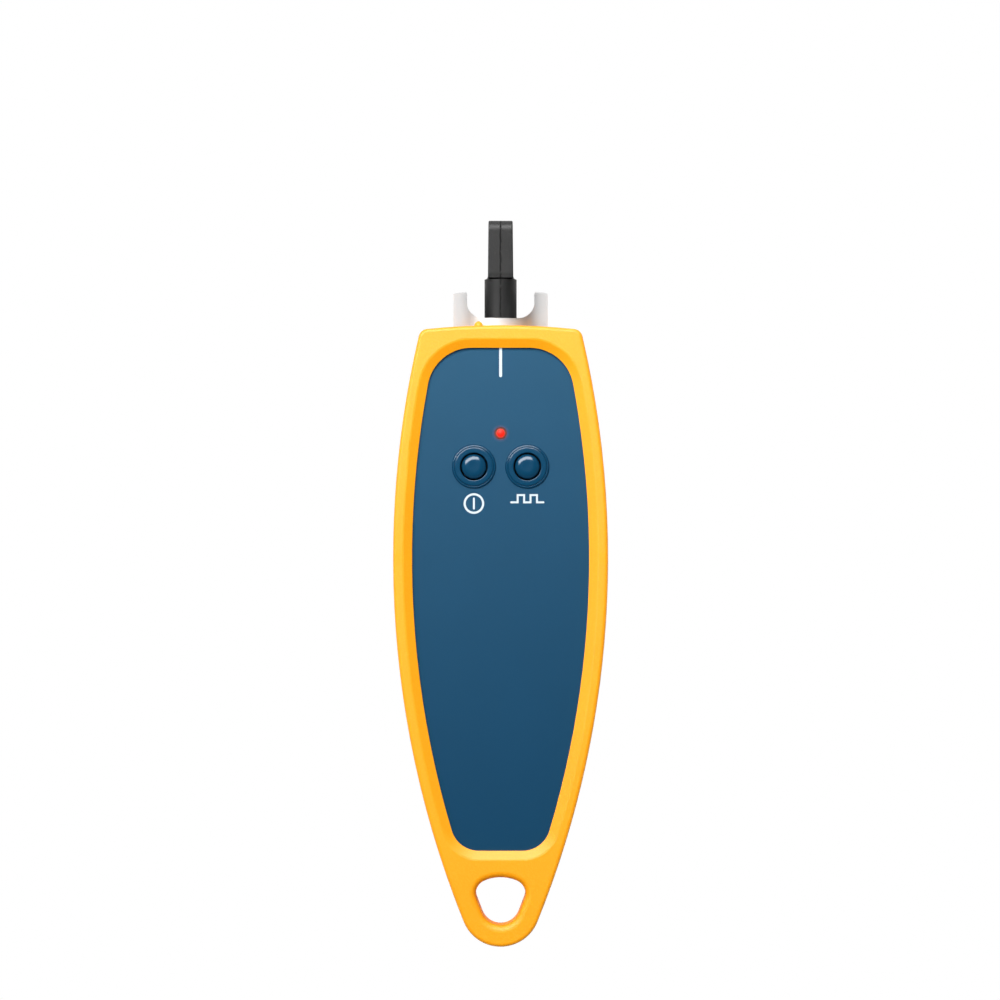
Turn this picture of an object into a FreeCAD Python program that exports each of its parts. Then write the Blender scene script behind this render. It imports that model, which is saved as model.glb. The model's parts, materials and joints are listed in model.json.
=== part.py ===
import FreeCAD, Part
import math
import os

import Sketcher

# Visual fault locator: a two-cell hand-held red light source for tracing optical fibre.
# Product frame, millimetres: X across, Y along the case towards the fibre port, Z out of
# the keypad face. Sizes are measured from the top edge of the bumper (Y = 0, case below it)
# and from the plane that the back rests on (Z = 0). Each finished piece is then placed so
# that Y = 0 is the middle of the whole length, dust cap included.

Vector = FreeCAD.Vector
NOWHERE = 0.0005

os.makedirs("parts", exist_ok=True)
doc = FreeCAD.newDocument("FaultLocator")
sheet = doc.addObject("Spreadsheet::Sheet", "Sizes")

DRIVING = [
    # case outline and bumper
    ("bodyLength", 155.0), ("halfWidth", 26.75), ("bodyThickness", 32.0), ("widestBelowTop", 58.0),
    ("loopRadius", 9.9), ("crownRadius", 1200.0), ("topBulge", 1.1), ("topCornerRadius", 2.4),
    ("bumperSide", 2.3), ("bumperTop", 3.4), ("lipThickness", 2.0), ("rimRound", 0.9),
    ("heelUp", 18.3), ("heelRound", 2.0), ("loopUnder", 20.0), ("snugFit", 0.05),
    # window in the bumper
    ("windowInset", 4.7), ("windowTop", 5.6), ("windowUp", 24.0), ("windowTopRound", 11.0),
    ("windowEndRound", 7.0), ("bevelWidth", 2.2), ("bevelDepth", 1.3),
    # lanyard eye
    ("eyeShoulderX", 2.6), ("eyeShoulderUp", 13.25), ("eyeShoulderRadius", 3.6), ("eyeCrownRadius", 10.0),
    ("eyeToeUp", 10.3), ("eyeToeRadius", 4.9), ("eyeLip", 1.6), ("eyeBackLip", 0.6),
    ("pipRadius", 1.05), ("pipX", 5.5), ("pipZ", 28.0),
    # shells
    ("shellUp", 21.0), ("shellWall", 2.0), ("shellEndRound", 7.0),
    ("seamGap", 0.02), ("bossRadius", 2.6), ("pilotRadius", 0.9), ("pilotDepth", 8.5),
    ("upperBossX", 18.3), ("upperBossY", 47.0), ("lowerBossX", 8.5), ("lowerBossUp", 28.0),
    # fibre port, on the axis of the guard
    ("portHeight", 15.3), ("guardRadius", 11.9), ("guardWall", 1.3), ("guardReach", 8.6),
    ("guardMouth", 0.4),
    ("notchWidth", 17.0), ("notchDepth", 6.7), ("notchRound", 4.2), ("guardFloor", 2.0),
    ("tailRadius", 10.0), ("tailBore", 8.0), ("flangeRadius", 11.0), ("flangeThickness", 2.0),
    ("portThreadRadius", 4.5), ("portNeckRadius", 3.15), ("portNeckReach", 8.3), ("portLip", 0.7),
    ("mouthLead", 0.1), ("neckEdge", 0.3), ("portFlange", 2.4), ("stubRadius", 4.7), ("stubLength", 6.6),
    ("nutFlats", 12.0), ("nutThickness", 1.8),
    ("ferruleRadius", 1.25), ("sleeveWall", 0.35), ("sleeveLength", 11.0), ("sleeveSlit", 0.4),
    ("lightHole", 0.6), ("laserRadius", 4.5), ("laserLength", 24.0),
    ("laserNoseRadius", 3.4), ("laserNoseLength", 4.0), ("laserStep", 0.4), ("laserGrooveStart", 5.0),
    ("laserGrooveLength", 1.5), ("laserPlugRadius", 2.8), ("laserPlug", 1.2),
    # dust cap
    ("capRadius", 4.05), ("capStart", 0.8), ("capShoulder", 12.8), ("capReach", 26.75),
    ("capRound", 0.8), ("capRoof", 3.3), ("tabWidth", 6.4), ("tabTip", 6.1), ("tabDepth", 8.0),
    ("tabBand", 1.6), ("tabCorner", 2.4), ("tabEdge", 0.35), ("tabRoot", 0.4),
    # keypad
    ("buttonX", 6.65), ("buttonY", 35.2), ("buttonRadius", 3.05), ("buttonGap", 0.4),
    ("buttonProud", 1.0), ("buttonDome", 0.3), ("buttonEdge", 0.7), ("buttonFlange", 4.3),
    ("buttonFlangeHeight", 1.0),
    ("buttonTravel", 0.5), ("restGap", 0.3), ("bezelRadius", 5.3), ("bezelWidth", 0.8), ("bezelHeight", 0.55),
    ("lampY", 26.9), ("lampRadius", 1.5), ("lampBody", 5.3), ("lampRim", 1.9), ("lampRimHeight", 1.0),
    ("lampLeadRadius", 0.25), ("lampLeadX", 1.27),
    # circuit board and switches
    ("boardTop", 21.8), ("boardThickness", 1.6), ("boardStart", 8.2), ("boardEnd", 50.2),
    ("boardHalfWidth", 14.6), ("switchSize", 6.2), ("switchHeight", 3.4),
    ("plungerRadius", 1.7), ("plungerDepth", 2.0),
    # battery bay, cells and contacts
    ("cellRadius", 7.25), ("cellLength", 50.5), ("cellEdge", 0.6), ("nubRadius", 2.75), ("nubHeight", 1.5),
    ("nubEdge", 0.3), ("cellGap", 0.3), ("bayStart", 50.6), ("bayWall", 1.6), ("bayRoof", 1.2),
    ("springLength", 4.7), ("plateThickness", 0.4), ("plateHalf", 5.6),
    ("leafSpan", 10.0), ("leafWidth", 5.0), ("leafThickness", 0.35), ("leafSlack", 0.1),
    # battery door
    ("doorThickness", 1.8), ("doorInset", 11.35), ("doorStart", 49.5), ("doorUp", 34.0),
    ("doorTopRound", 3.0), ("doorEndRound", 8.0), ("doorGap", 0.25), ("doorScrewUp", 40.0),
    ("hookX", 6.0), ("hookWidth", 5.0), ("hookReach", 2.2), ("hookThickness", 1.2), ("hookRoot", 1.3),
    ("hookRise", 0.3), ("hookPlay", 0.2), ("gripHalf", 6.0), ("gripWidth", 0.8), ("gripDepth", 0.4),
    ("gripPitch", 1.8), ("gripRise", 7.0),
    # fasteners
    ("screwHeadRadius", 2.0), ("screwHeadHeight", 1.2), ("screwRadius", 0.85), ("slotWidth", 0.6),
    ("headSunk", 0.15), ("headPlay", 0.15), ("shankPlay", 0.25), ("shellScrewLength", 17.5),
    ("doorScrewLength", 4.6),
]
for row, (name, value) in enumerate(DRIVING, start=1):
    sheet.set(f"A{row}", name)
    sheet.set(f"B{row}", str(value))
    sheet.setAlias(f"B{row}", name)
doc.recompute()


class Dim:
    # a size with its value now and the sheet expression that keeps it up to date
    def __init__(self, value, text):
        self.value = value
        self.text = text

    def __add__(self, other):
        other = dim(other)
        return Dim(self.value + other.value, f"({self.text} + {other.text})")

    def __sub__(self, other):
        other = dim(other)
        return Dim(self.value - other.value, f"({self.text} - {other.text})")

    def __mul__(self, other):
        other = dim(other)
        return Dim(self.value * other.value, f"({self.text} * {other.text})")

    def __truediv__(self, other):
        other = dim(other)
        return Dim(self.value / other.value, f"({self.text} / {other.text})")

    def __radd__(self, other):
        return dim(other) + self

    def __rsub__(self, other):
        return dim(other) - self

    def __rmul__(self, other):
        return dim(other) * self

    def __neg__(self):
        return Dim(-self.value, f"(0 - {self.text})")


def dim(size):
    return size if isinstance(size, Dim) else Dim(float(size), repr(float(size)))


def root(size):
    return Dim(math.sqrt(size.value), f"sqrt({size.text})")


class Sizes:
    # attribute access to the sheet: size.halfWidth, size.bodyLength, ...
    def __getattr__(self, name):
        return Dim(float(sheet.get(name)), f"Sizes.{name}")


size = Sizes()


# ---------------------------------------------------------------- building helpers

def bind(item, prop, value):
    value = dim(value)
    if "Constraints" not in prop and "Placement" not in prop:
        setattr(item, prop, value.value)
    item.setExpression(prop, value.text)


def place(item, x=0, y=0, z=0, rotation=None):
    item.Placement = FreeCAD.Placement(Vector(dim(x).value, dim(y).value, dim(z).value),
                                       rotation or FreeCAD.Rotation())
    for letter, value in zip("xyz", (x, y, z)):
        if isinstance(value, Dim):
            item.setExpression(f"Placement.Base.{letter}", value.text)
    return item


def originPlane(body, role):
    return next(item for item in body.Origin.OriginFeatures if item.Role == role)


def newSketch(name, plane="XY", body=None, offset=0):
    if body is not None:
        sketch = body.newObject("Sketcher::SketchObject", name)
        sketch.AttachmentSupport = [(originPlane(body, plane + "_Plane"), "")]
        sketch.MapMode = "FlatFace"
        if isinstance(offset, Dim):
            sketch.AttachmentOffset = FreeCAD.Placement(Vector(0, 0, offset.value), FreeCAD.Rotation())
            sketch.setExpression("AttachmentOffset.Base.z", offset.text)
        return sketch
    sketch = doc.addObject("Sketcher::SketchObject", name)
    turns = {"XY": FreeCAD.Rotation(),
             "XZ": FreeCAD.Rotation(Vector(1, 0, 0), 90),
             "YZ": FreeCAD.Rotation(Vector(1, 1, 1), 120)}
    sketch.Placement = FreeCAD.Placement(Vector(), turns[plane])
    return sketch


def pin(sketch, curve, end, x, y):
    for kind, value in (("DistanceX", dim(x)), ("DistanceY", dim(y))):
        index = sketch.addConstraint(Sketcher.Constraint(kind, -1, 1, curve, end, value.value))
        sketch.setExpression(f"Constraints[{index}]", value.text)


def setRadius(sketch, curve, radius):
    index = sketch.addConstraint(Sketcher.Constraint("Radius", curve, dim(radius).value))
    sketch.setExpression(f"Constraints[{index}]", dim(radius).text)


def path(sketch, points):
    # closed outline; each point is (x, y) or (x, y, radius, side) for an arc up to the next point
    places = [Vector(dim(point[0]).value, dim(point[1]).value, 0) for point in points]
    curves = []
    for index, point in enumerate(points):
        start = places[index]
        end = places[(index + 1) % len(points)]
        if len(point) == 2:
            curves.append((sketch.addGeometry(Part.LineSegment(start, end), False), 1, 2))
            continue
        radius = dim(point[2])
        run = end - start
        left = Vector(-run.y, run.x, 0).normalize()
        rise = math.sqrt(max(radius.value ** 2 - run.Length ** 2 / 4, 0))
        crest = (start + end) * 0.5 + left * ((radius.value - rise) * point[3])
        arc = Part.Arc(end, crest, start) if point[3] > 0 else Part.Arc(start, crest, end)
        curve = sketch.addGeometry(arc, False)
        ends = (2, 1) if point[3] > 0 else (1, 2)
        curves.append((curve, *ends))
    for index, (curve, begin, finish) in enumerate(curves):
        follower = curves[(index + 1) % len(curves)]
        sketch.addConstraint(Sketcher.Constraint("Coincident", curve, finish, follower[0], follower[1]))
    for index, (curve, begin, finish) in enumerate(curves):
        pin(sketch, curve, begin, points[index][0], points[index][1])
        if len(points[index]) < 3:
            continue
        chord = (places[(index + 1) % len(points)] - places[index]).Length
        if abs(chord - 2 * dim(points[index][2]).value) < NOWHERE:
            # a half circle: its centre lies midway between its ends
            sketch.addConstraint(Sketcher.Constraint("Symmetric", curve, begin, curve, finish, curve, 3))
        else:
            setRadius(sketch, curve, points[index][2])
    return sketch


def ring(sketch, x, y, radius):
    curve = sketch.addGeometry(
        Part.Circle(Vector(dim(x).value, dim(y).value, 0), Vector(0, 0, 1), dim(radius).value), False)
    pin(sketch, curve, 3, x, y)
    setRadius(sketch, curve, radius)
    return sketch


def box(name, x0, x1, y0, y1, z0, z1):
    item = doc.addObject("Part::Box", name)
    for prop, low, high in (("Length", x0, x1), ("Width", y0, y1), ("Height", z0, z1)):
        bind(item, prop, dim(high) - dim(low))
    return place(item, dim(x0), dim(y0), dim(z0))


def rod(name, radius, height, x=0, y=0, z=0, along="Z"):
    item = doc.addObject("Part::Cylinder", name)
    bind(item, "Radius", radius)
    bind(item, "Height", height)
    turns = {"Z": None, "Y": FreeCAD.Rotation(Vector(1, 0, 0), -90),
             "X": FreeCAD.Rotation(Vector(0, 1, 0), 90)}
    return place(item, dim(x), dim(y), dim(z), turns[along])


def extrude(name, sketch, direction, length, symmetric=False):
    item = doc.addObject("Part::Extrusion", name)
    item.Base = sketch
    item.DirMode = "Custom"
    item.Dir = direction
    item.Solid = True
    item.Symmetric = symmetric
    bind(item, "LengthFwd", length)
    return item


def join(kind, name, parts):
    item = doc.addObject(kind, name)
    if kind == "Part::Cut":
        item.Base, item.Tool = parts
    else:
        item.Shapes = parts
    return item


def fuse(name, *parts):
    return join("Part::MultiFuse", name, list(parts))


def common(name, *parts):
    return join("Part::MultiCommon", name, list(parts))


def cut(name, base, *tools):
    tool = tools[0] if len(tools) == 1 else fuse(name + "Tools", *tools)
    return join("Part::Cut", name, (base, tool))


def newBody(name, base=None):
    body = doc.addObject("PartDesign::Body", name)
    if base is not None:
        body.BaseFeature = base
        doc.recompute()
    return body


def feature(body, kind, name, sketch, **sizes):
    item = body.newObject("PartDesign::" + kind, name)
    item.Profile = sketch
    for prop, value in sizes.items():
        if isinstance(value, Dim):
            bind(item, prop, value)
        else:
            setattr(item, prop, value)
    return item


def turned(name, points, plane="XY"):
    # a turned piece: a half section revolved about the sketch's upright axis
    body = newBody(name)
    sketch = path(newSketch(name + "Section", plane, body), points)
    item = body.newObject("PartDesign::Revolution", name + "Turned")
    item.Profile = sketch
    item.ReferenceAxis = (sketch, ["V_Axis"])
    item.Angle = 360
    return body


def dress(body, kind, name, choose, **sizes):
    # a fillet or chamfer on the edges of the body's last feature that choose() accepts
    doc.recompute()
    last = body.Tip
    if "Invalid" in last.State or last.Shape.isNull():
        raise RuntimeError(f"{last.Name} did not build")
    edges = [f"Edge{index}" for index, edge in enumerate(last.Shape.Edges, start=1) if choose(edge)]
    if not edges:
        raise RuntimeError(name + " found no edge")
    item = body.newObject("PartDesign::" + kind, name)
    item.Base = (last, edges)
    for prop, value in sizes.items():
        if isinstance(value, Dim):
            bind(item, prop, value)
        else:
            setattr(item, prop, value)
    body.Tip = item
    return item


def near(edge, inside):
    # True if five points of the edge all satisfy inside(point)
    first, last = edge.ParameterRange
    steps = [first + (last - first) * (0.02 + 0.24 * step) for step in range(5)]
    return all(inside(edge.valueAt(step)) for step in steps)


FINISHED = {}
shift = (size.bodyLength - size.capReach) / 2
heelY = size.bodyLength - size.heelUp                    # what lies near the loop is set out from its end
eyeShoulderY = size.bodyLength - size.eyeShoulderUp
eyeToeY = size.bodyLength - size.eyeToeUp
windowEnd = size.bodyLength - size.windowUp
shellEnd = size.bodyLength - size.shellUp
lowerBossY = size.bodyLength - size.lowerBossUp
doorEnd = size.bodyLength - size.doorUp
doorScrewY = size.bodyLength - size.doorScrewUp
doorHalfWidth = size.halfWidth - size.doorInset


def finish(node, item, z=None, x=None):
    # name the finished piece and set it in its place along the whole length
    item.Label = node
    place(item, dim(x) if x is not None else 0, shift, dim(z) if z is not None else 0)
    FINISHED[node] = item
    return item


# ---------------------------------------------------------------- shared forms

FAR = 30                     # how far cutting shapes run past the case
axisY = -size.widestBelowTop
tailRun = size.bodyLength - size.widestBelowTop
sideRadius = ((size.halfWidth * size.halfWidth + tailRun * tailRun - size.loopRadius * tailRun * 2)
              / ((size.halfWidth - size.loopRadius) * 2))        # side arcs that run into the loop's end


def sideX(inset, y):
    # half width of the case outline, moved in by inset, at the height y
    reach = root((sideRadius - inset) * (sideRadius - inset) - (y - axisY) * (y - axisY))
    return reach + size.halfWidth - sideRadius


def crownZ(drop, y):
    # height of the crowned keypad face, moved down by drop, at y
    radius = size.crownRadius - drop
    return root(radius * radius - (y - axisY) * (y - axisY)) + size.bodyThickness - size.crownRadius


def caseOutline(sketch, inset, top, end):
    # straight-ended outline between the two side arcs
    flank = sideRadius - inset
    return path(sketch, [(-sideX(inset, top), top), (sideX(inset, top), top, flank, 1),
                         (sideX(inset, end), end), (-sideX(inset, end), end, flank, 1)])


def loopTouch():
    # where the side arcs run into the loop's round end
    offset = sideRadius - size.halfWidth
    ratio = sideRadius / (sideRadius - size.loopRadius)
    return offset * ratio - offset, axisY - (tailRun - size.loopRadius) * ratio


def bumperOutline(sketch):
    # convex top edge, two side arcs and the round end of the lanyard loop
    corner = -size.topBulge
    half = sideX(dim(0), corner)
    topArc = (half * half + size.topBulge * size.topBulge) / (2 * size.topBulge)
    touchX, touchY = loopTouch()
    return path(sketch, [(-half, corner, topArc, 1), (half, corner, sideRadius, 1),
                         (touchX, touchY, size.loopRadius, 1), (-touchX, touchY, sideRadius, 1)])


def slab(name, drop, rear, heel=False):
    # everything between the rear plane and the crowned front, as wide as needed
    low = -size.bodyLength - FAR
    high = dim(FAR)
    crown = size.crownRadius - drop
    points = [(low, crownZ(drop, low), crown, 1), (high, crownZ(drop, high)), (high, rear)]
    if heel:
        # the back ends in a rounded heel, and hollows up to the thinner loop
        hollow = size.loopUnder - size.heelRound
        points += [(-heelY + size.heelRound, rear, size.heelRound, 1), (-heelY, size.heelRound, hollow, -1),
                   (-heelY - hollow, size.loopUnder), (low, size.loopUnder)]
    else:
        points += [(low, rear)]
    sketch = path(newSketch(name + "Side", "YZ"), points)
    return extrude(name, sketch, Vector(1, 0, 0), size.halfWidth * 4, True)


def envelope(name, sketch, drop, rear, heel=False):
    # outline and side profile together
    plan = extrude(name + "Plan", sketch, Vector(0, 0, 1), size.bodyThickness + 1)
    return common(name, plan, slab(name + "Slab", drop, rear, heel))


shellTop = -size.bumperTop
shellFoot = -shellEnd
lip = size.lipThickness
wall = size.shellWall


# ---------------------------------------------------------------- bumper

def uprightAt(y, inset):
    # picks the upright edges where the outline moved in by inset meets the height y
    def choose(edge):
        ends = [vertex.Point for vertex in edge.Vertexes]
        if len(ends) < 2 or math.hypot(ends[0].x - ends[1].x, ends[0].y - ends[1].y) > NOWHERE:
            return False
        return abs(ends[0].y - y.value) < 0.01 and abs(abs(ends[0].x) - sideX(inset, y).value) < 0.01
    return choose


def makeBumper():
    # one-piece soft bumper: crowned face, bevelled windows, lanyard loop, hole for the guard
    outside = envelope("bumperForm", bumperOutline(newSketch("bumperOutline")), dim(0), dim(0), True)
    cavitySketch = caseOutline(newSketch("cavityOutline"), size.bumperSide, shellTop, shellFoot)
    cavity = envelope("bumperCavity", cavitySketch, lip, lip)
    windowSketch = caseOutline(newSketch("windowOutline"), size.windowInset, -size.windowTop, -windowEnd)
    window = extrude("windowCut", windowSketch, Vector(0, 0, 1), size.bodyThickness + 2)
    guardHole = rod("guardHole", size.guardRadius + size.snugFit, FAR, 0, shellTop - 1, size.portHeight, "Y")
    pip = doc.addObject("Part::Sphere", "pip")
    bind(pip, "Radius", size.pipRadius)
    place(pip, -size.pipX, dim(0), size.pipZ)
    hollow = cut("bumperHollow", outside, cavity, window, guardHole)
    body = newBody("bumperBody", fuse("bumperWithPip", hollow, pip))
    dress(body, "Fillet", "topCorners", uprightAt(-size.topBulge, dim(0)), Radius=size.topCornerRadius)
    dress(body, "Fillet", "windowTopCorners", uprightAt(-size.windowTop, size.windowInset),
          Radius=size.windowTopRound)
    dress(body, "Fillet", "windowEndCorners", uprightAt(-windowEnd, size.windowInset),
          Radius=size.windowEndRound)
    dress(body, "Fillet", "cavityCorners", uprightAt(shellFoot, size.bumperSide), Radius=size.shellEndRound)
    feature(body, "Pocket", "lanyardEye", eyeOutline(newSketch("eyeOutline", "XY", body)),
            Reversed=True, Length=size.bodyThickness + 2)

    touchY = loopTouch()[1]
    toeY = -size.bodyLength + size.loopRadius
    eyeBack = -eyeShoulderY.value + size.eyeShoulderRadius.value
    eyeHalf = size.eyeShoulderX.value + size.eyeShoulderRadius.value

    def surfaceZ(y, front):
        # height of the front or the back at y
        if front:
            return crownZ(dim(0), dim(y)).value
        heel, turn = heelY.value, size.heelRound.value
        hollow = size.loopUnder.value - turn
        past = -heel - y
        if past > 0:
            return size.loopUnder.value - hollow + math.sqrt(max(hollow ** 2 - max(hollow - past, 0) ** 2, 0))
        return turn - math.sqrt(max(turn ** 2 - max(turn + past, 0) ** 2, 0))

    def onFace(point):
        return min(abs(point.z - surfaceZ(point.y, side)) for side in (True, False)) < 0.01

    def onRim(point):
        if not onFace(point):
            return False
        if point.y > -size.topBulge.value - size.topCornerRadius.value - 0.3:
            return point.y > -size.windowTop.value + 0.5
        if point.y > touchY.value:
            return abs(abs(point.x) - sideX(dim(0), dim(point.y)).value) < 0.02
        return abs(math.hypot(point.x, point.y - toeY.value) - size.loopRadius.value) < 0.02

    def onWindow(front):
        def inside(point):
            return (abs(point.z - surfaceZ(point.y, front)) < 0.01
                    and -windowEnd.value - 0.01 < point.y < -size.windowTop.value + 0.01
                    and abs(point.x) < sideX(size.windowInset, dim(point.y)).value + 0.01)
        return inside

    def onEye(front):
        def inside(point):
            return (abs(point.z - surfaceZ(point.y, front)) < 0.01 and abs(point.x) < eyeHalf + 0.1
                    and -eyeToeY.value - size.eyeToeRadius.value - 0.1 < point.y < eyeBack + 0.3)
        return inside

    dress(body, "Chamfer", "frontBevel", lambda edge: near(edge, onWindow(True)),
          ChamferType="Two distances", Size=size.bevelDepth, Size2=size.bevelWidth)
    dress(body, "Chamfer", "rearBevel", lambda edge: near(edge, onWindow(False)), Size=size.bevelDepth)
    dress(body, "Fillet", "eyeLip", lambda edge: near(edge, onEye(True)), Radius=size.eyeLip)
    dress(body, "Fillet", "eyeBackLip", lambda edge: near(edge, onEye(False)), Radius=size.eyeBackLip)
    dress(body, "Fillet", "outerRims", lambda edge: near(edge, onRim), Radius=size.rimRound)
    return finish("bumper", body)


def eyeOutline(sketch):
    # rounded triangle: crown, shoulder and toe arcs, the shoulders joined to the toe by tangent lines
    reach = size.eyeCrownRadius.value - size.eyeShoulderRadius.value
    lean = math.acos(size.eyeShoulderX.value / reach)
    crownY = -eyeShoulderY - root(dim(reach) * dim(reach) - size.eyeShoulderX * size.eyeShoulderX)
    centres = [(size.eyeShoulderX, -eyeShoulderY, size.eyeShoulderRadius, -0.3, lean),
               (dim(0), crownY, size.eyeCrownRadius, lean, math.pi - lean),
               (-size.eyeShoulderX, -eyeShoulderY, size.eyeShoulderRadius, math.pi - lean, math.pi + 0.3),
               (dim(0), -eyeToeY, size.eyeToeRadius, math.pi + 0.3, 2 * math.pi - 0.3)]
    arcs = []
    for x, y, radius, begin, end in centres:
        circle = Part.Circle(Vector(x.value, y.value, 0), Vector(0, 0, 1), radius.value)
        arcs.append(Part.ArcOfCircle(circle, begin, end))
    curves = [sketch.addGeometry(arc, False) for arc in arcs]
    for index in (0, 1):
        sketch.addConstraint(Sketcher.Constraint("Tangent", curves[index], 2, curves[index + 1], 1))
    for index in (2, 3):
        after = (index + 1) % 4
        line = sketch.addGeometry(Part.LineSegment(arcs[index].EndPoint, arcs[after].StartPoint), False)
        sketch.addConstraint(Sketcher.Constraint("Tangent", curves[index], 2, line, 1))
        sketch.addConstraint(Sketcher.Constraint("Tangent", line, 2, curves[after], 1))
    for curve, (x, y, radius, begin, end) in zip(curves, centres):
        setRadius(sketch, curve, radius)
        if curve != curves[1]:
            pin(sketch, curve, 3, x, y)
    return sketch


# ---------------------------------------------------------------- shells

def shellForm(name, inset, top, foot, drop, rear, footRound):
    # closed block with the shells' outline and side profile, foot corners rounded
    block = envelope(name, caseOutline(newSketch(name + "Outline"), inset, top, foot), drop, rear)
    body = newBody(name + "Body", block)
    dress(body, "Fillet", name + "Foot", uprightAt(foot, inset), Radius=footRound)
    return body


fit = size.snugFit
shellRear = lip + fit
doorInner = shellRear + size.doorThickness
panelZ = crownZ(lip + fit, -size.buttonY)
ceilingZ = crownZ(lip + wall, -size.buttonY)
lampTopZ = crownZ(lip + fit, -size.lampY)
bayHalf = size.cellRadius * 2 + size.cellGap
bayLength = size.cellLength + size.springLength + size.plateThickness * 2
bayFoot = -size.bayStart - bayLength
cellZ = doorInner + size.cellGap + size.cellRadius
roofZ = cellZ + size.cellRadius + size.cellGap
boardUnder = size.boardTop - size.boardThickness
hookFront = -size.bayStart - 0.1
hookTop = doorInner + size.hookRise + size.hookThickness
BOSSES = [(side * x, -y) for x, y in ((size.upperBossX, size.upperBossY), (size.lowerBossX, lowerBossY))
          for side in (-1, 1)]
RIB_PLACES = (14.5, 30.0)    # below the top edge, clear of the lamp and the keypad
RIB_THICKNESS = 1.6
RIB_HALF = 12.0
PEGS = ((-11.5, -13.0), (11.5, -13.0), (-12.0, -44.0), (12.0, -44.0))
PEG_RADIUS = 1.6
GRIPS = 5                    # finger grooves across the battery door


def screwRoom(name, x, y):
    # clearance hole and head seat for a screw put in from the back
    seat = shellRear + size.headSunk + size.screwHeadHeight
    return [rod(name + "ScrewHole", size.screwRadius + size.shankPlay, FAR, x, y, 0),
            rod(name + "ScrewSeat", size.screwHeadRadius + size.headPlay, seat, x, y, 0)]


def shells():
    outer = shellForm("shellOuter", size.bumperSide + fit, shellTop - fit, shellFoot + fit, lip + fit,
                      shellRear, size.shellEndRound)
    inner = shellForm("shellInner", size.bumperSide + wall, shellTop - wall, shellFoot + wall, lip + wall,
                      lip + wall, size.shellEndRound - wall)
    neck = rod("tailHole", size.tailRadius + fit, FAR / 2, 0, shellTop - wall - 1, size.portHeight, "Y")
    low = -size.bodyLength
    reach = size.halfWidth

    # front half: keypad face with raised rings, holes, screw bosses and board pegs
    frontZone = box("frontZone", -reach, reach, low, FAR, size.portHeight + size.seamGap, size.bodyThickness)
    skin = cut("frontSkin", common("frontHalf", outer, frontZone), inner)
    posts = [rod("frontBoss", size.bossRadius, size.bodyThickness - size.portHeight, x, y, size.portHeight)
             for x, y in BOSSES]
    posts += [rod("peg", PEG_RADIUS, size.bodyThickness - size.boardTop, x, y, size.boardTop)
              for x, y in PEGS]
    clipped = common("frontPosts", fuse("frontPostSet", *posts), outer, frontZone)
    raised = []
    sunk = []
    for side in (-1, 1):
        x = side * size.buttonX
        raised.append(bezel(x))
        sunk.append(rod("buttonHole", size.buttonRadius + size.buttonGap, FAR, x, -size.buttonY,
                        size.boardTop))
    sunk.append(rod("lampHole", size.lampRadius + fit, FAR, 0, -size.lampY, size.boardTop))
    sunk += [rod("pilot", size.pilotRadius, size.pilotDepth, x, y, size.portHeight - 1) for x, y in BOSSES]
    solid = fuse("frontSolid", skin, clipped, *raised)
    finish("front_shell", cut("frontShell", solid, neck, *sunk))

    # rear half: battery bay, laser cradles, door opening and screw seats
    rearZone = box("rearZone", -reach, reach, low, FAR, 0, size.portHeight)
    rearSkin = cut("rearSkin", common("rearHalf", outer, rearZone), inner)
    bay = box("bayBlock", -bayHalf - size.bayWall, bayHalf + size.bayWall, bayFoot - size.bayWall,
              -size.bayStart + size.bayWall, doorInner, roofZ + size.bayRoof)
    frame = extrude("doorFrame", doorOutline(newSketch("doorFrameOutline"), size.bayRoof, dim(doorInner)),
                    Vector(0, 0, 1), size.bayRoof + 0.2)
    inside = [bay, frame,
              rod("doorBoss", size.bossRadius, size.doorScrewLength + 3, 0, -doorScrewY, doorInner)]
    inside += [rod("rearBoss", size.bossRadius, size.portHeight - shellRear, x, y, shellRear)
               for x, y in BOSSES]
    for station in RIB_PLACES:
        inside.append(box("cradle", -RIB_HALF, RIB_HALF, -station - RIB_THICKNESS / 2,
                          -station + RIB_THICKNESS / 2, shellRear, boardUnder - fit))
    kept = common("rearInside", fuse("rearInsideSet", *inside), outer)
    holes = [neck]
    holes.append(box("bayRoom", -bayHalf, bayHalf, bayFoot, -size.bayStart, 0, roofZ))
    holes.append(extrude("doorOpening", doorOutline(newSketch("doorOpeningOutline"), size.doorGap),
                         Vector(0, 0, 1), doorInner))
    laserHole = size.laserRadius + fit
    laserBack = -size.bayStart + size.bayWall + 2
    laserRun = shellTop - wall - 1 - laserBack
    holes.append(rod("laserSeat", laserHole, laserRun, 0, laserBack, size.portHeight, "Y"))
    holes.append(box("laserSlot", -laserHole, laserHole, laserBack, laserBack + laserRun,
                     size.portHeight, FAR))
    for side in (-1, 1):
        middle = side * size.hookX
        half = size.hookWidth / 2 + size.hookPlay
        holes.append(box("hookSlot", middle - half, middle + half, hookFront,
                         -size.doorStart + size.hookReach + size.hookRise, lip + wall,
                         hookTop + size.hookPlay))
    holes.append(rod("doorPilot", size.pilotRadius, size.doorScrewLength + 1, 0, -doorScrewY,
                     doorInner - 0.5))
    for x, y in BOSSES:
        holes += screwRoom("shell", x, y)
    finish("rear_shell", cut("rearShell", fuse("rearSolid", rearSkin, kept), *holes))


def bezel(x):
    # rounded rim round a button, over a disc that fills the wall under it
    crest = size.bezelWidth / 2
    waist = panelZ + size.bezelHeight - crest
    inner = size.bezelRadius - size.bezelWidth
    outer = size.bezelRadius
    rim = turned("bezel", [(0, panelZ - wall), (outer, panelZ - wall), (outer, waist, crest, 1),
                           (inner, waist), (inner, panelZ), (0, panelZ)], "XZ")
    return place(rim, x, -size.buttonY, 0)


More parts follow.
